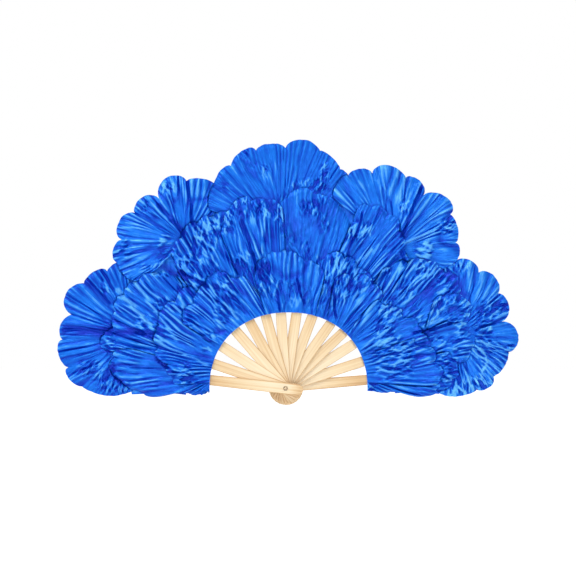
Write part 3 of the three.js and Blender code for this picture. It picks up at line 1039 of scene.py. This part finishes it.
def bamboo_material(name, direction, seed):
    """Bamboo whose grain runs in a direction given in degrees."""
    graph = Graph(bpy.data.materials.new("bamboo_" + name))
    along = graph.mapping(graph.place(), Rotation=(0.0, float(np.radians(direction)), 0.0))
    moved = graph.mapping(along, Location=(0.37 * seed, 0.0, 0.13 * seed))
    fibres = graph.noise(graph.mapping(moved, Scale=(12.0, 300.0, 900.0)), 1.0)
    bands = graph.noise(graph.mapping(moved, Scale=(5.0, 60.0, 160.0)), 1.0, 2.0)
    tone = np.random.default_rng(seed).uniform(-0.08, 0.08)
    sideways = graph.add("SeparateXYZ", None, {"Vector": along}, "Z")
    # Painted shade along both edges of each stick, where the sticks overlap.
    edge = graph.ranged(graph.math("ABSOLUTE", sideways), *EDGE_SHADE_SPAN)
    outwards = graph.add("SeparateXYZ", None, {"Vector": along}, "X")
    # Painted light near the rivet, against the shade between the sticks there; browner towards the
    # leaf and brownest on the guards.
    painted_light_at_rivet_brown_at_leaf = graph.ranged(outwards, *RIVET_LIGHT_LEAF_BROWN_SPAN) * (0.15 + BROWN.get(name, STICK_BROWN))
    # Painted shade at the tail.
    tail_painted_shade = graph.ranged(outwards, *TAIL_SHADE_SPAN) * 0.35
    shade = fibres * 0.7 + bands * 0.6 - edge * 0.42 - painted_light_at_rivet_brown_at_leaf - tail_painted_shade - float(tone)
    return graph.finish(
        Base_Color=graph.dyed(shade, *BAMBOO_SHADES),
        Roughness=0.42 + fibres * 0.2,
        Normal=graph.bump(fibres, 0.12 * MM, 0.7),
    )


def give(name, material):
    """Gives a CAD node this material alone."""
    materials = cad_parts[name].data.materials
    materials.clear()
    materials.append(material)


for number, name in enumerate(STICKS):
    give(name, bamboo_material(name, directions[number], number + 1))
print("sticks finished:", len(STICKS))

# %% [markdown]
# ## Rivet and washer
# Both are small plain steel, a little dull from handling.


# %% Steel
def steel_material():
    """Steel that handling has worn unevenly."""
    graph = Graph(bpy.data.materials.new("rivet_steel"))
    wear = graph.noise(graph.place(), 700.0)
    metal = graph.dyed(wear, (0.4, 84, 66, 50), (0.6, 206, 186, 156))
    return graph.finish(Base_Color=metal, Metallic=1.0, Roughness=0.25 + wear * 0.3)


steel = steel_material()
for name in ("rivet", "rear_washer"):
    give(name, steel)
print("steel finished")

# %% [markdown]
# ## The leaf in the frame
# The pieces between two sticks stay where they were made. The flaps outside the guards ride on
# them. Each piece is a cut sheet of satin, and its length runs outwards.

# %% Making and placing the pieces
ROWS = ["back", "middle", "front"]


def declare(fronts):
    """Adds up twice the area of a piece's front; the sum is not used.

    A triangle's area is half the length of the normal that its crossed edges give.
    """
    twice = sum(np.linalg.norm(crossed_edges(*front), axis=1).sum() for front in fronts)


def place_between(piece):
    """Bakes a piece's placement into its mesh."""
    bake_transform(piece)


cut_sheets = []
for row, points, triangles in sheets:
    for direction in np.radians(directions):
        points, triangles = scored(points, triangles, direction)
    cut_sheets.append((row, points, triangles, gap_of(points, triangles)))

total = 0
for row in ROWS:
    for gap in range(len(STICKS) + 1):
        fronts = [
            used_only(points, triangles[gaps == gap])
            for sheet_row, points, triangles, gaps in cut_sheets
            if sheet_row == row and (gaps == gap).any()
        ]
        points, triangles = joined([closed(*front) for front in fronts])
        piece = build(f"{row}_satin_{gap:02d}", points, triangles, satin)
        if gap == 0:
            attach(piece, STICKS[0])
        elif gap == len(STICKS):
            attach(piece, STICKS[-1])
            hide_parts(f"{row}_petals_13")
        else:
            place_between(piece)
            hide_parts(f"{row}_petals_{gap - 1:02d}")
        declare(fronts)
        total += len(triangles)
print("triangles in the satin:", total)

# %% [markdown]
# ## The studio
# A pale floor well below the fan, a soft key light above and to the left, and white all round.
# The key grazes the satin, so that each pleat has a light and a dark side. Three weaker lamps
# at the left, in front and behind keep the dark sides blue. A lamp's entry gives its place, the
# side of its square and its power in watts.

# %% Floor, lamps and surroundings
FLOOR_LEVEL = -0.6
FLOOR_HALF = 12.0
FLOOR_GLOW = 0.9
FAN_MIDDLE = (0.0, 0.0, 0.1)
LAMPS = {
    "key": ((-0.25, -1.05, 1.75), 0.9, 19.0),
    "side": ((-1.5, -0.9, 0.6), 0.8, 6.5),
    "front": ((0.25, -1.7, -0.15), 0.8, 8.5),
    "back_light": ((0.5, 1.2, 0.9), 0.8, 9.0),
}
AMBIENT = 0.38


def seen_rays(graph):
    """1 for each ray that shows the background: from the camera, off metal or through glass."""
    seen = graph.add("LightPath", None, None, "Is Camera Ray")
    for ray in ("Is Glossy Ray", "Is Transmission Ray"):
        seen = graph.math("MAXIMUM", seen, graph.add("LightPath", None, None, ray))
    return seen


def floor_material():
    """Pale paint that the camera sees near white, with the fan's shadow still on it."""
    graph = Graph(bpy.data.materials.new("studio_floor"))
    paint = graph.add("BsdfDiffuse", None, {"Color": colour(236, 236, 236)})
    glow = graph.add("Emission", None, {"Strength": seen_rays(graph) * FLOOR_GLOW})
    both = graph.add("AddShader", None, {0: paint, 1: glow})
    graph.add("OutputMaterial", None, {"Surface": both})
    return graph.owner


floor_mesh = bpy.data.meshes.new("studio_floor")
signs = ((-1, -1), (1, -1), (1, 1), (-1, 1))
floor_corners = [(x * FLOOR_HALF, y * FLOOR_HALF, FLOOR_LEVEL) for x, y in signs]
floor_mesh.from_pydata(floor_corners, [], [(0, 1, 2, 3)])
floor_mesh.materials.append(floor_material())
floor = placed("studio_floor", floor_mesh)
floor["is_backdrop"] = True

for name, (place, size, power) in LAMPS.items():
    lamp = bpy.data.lights.new(name, "AREA")
    lamp.size = size
    lamp.energy = power
    holder = placed(name, lamp)
    holder.location = place
    towards_fan = Vector(FAN_MIDDLE) - Vector(place)
    holder.rotation_euler = towards_fan.to_track_quat("-Z", "Y").to_euler()

world = bpy.data.worlds.new("studio")
bpy.context.scene.world = world
graph = Graph(world)
strength = seen_rays(graph) * (1 - AMBIENT) + AMBIENT
white = {"Color": colour(255, 255, 255), "Strength": strength}
background = graph.add("Background", None, white)
graph.add("OutputWorld", None, {"Surface": background})

bpy.context.scene.view_settings.view_transform = "Standard"

# %% [markdown]
# The last lines print the box of the finished fan beside the box of the exact solids.

boxes = {"cad": cad_box, "visual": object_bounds()}
sizes = {name: [list(corner) for corner in box] for name, box in boxes.items()}
for name, (low, high) in sizes.items():
    print(name, "mm:", np.round(np.array(low) / MM, 1), np.round(np.array(high) / MM, 1))
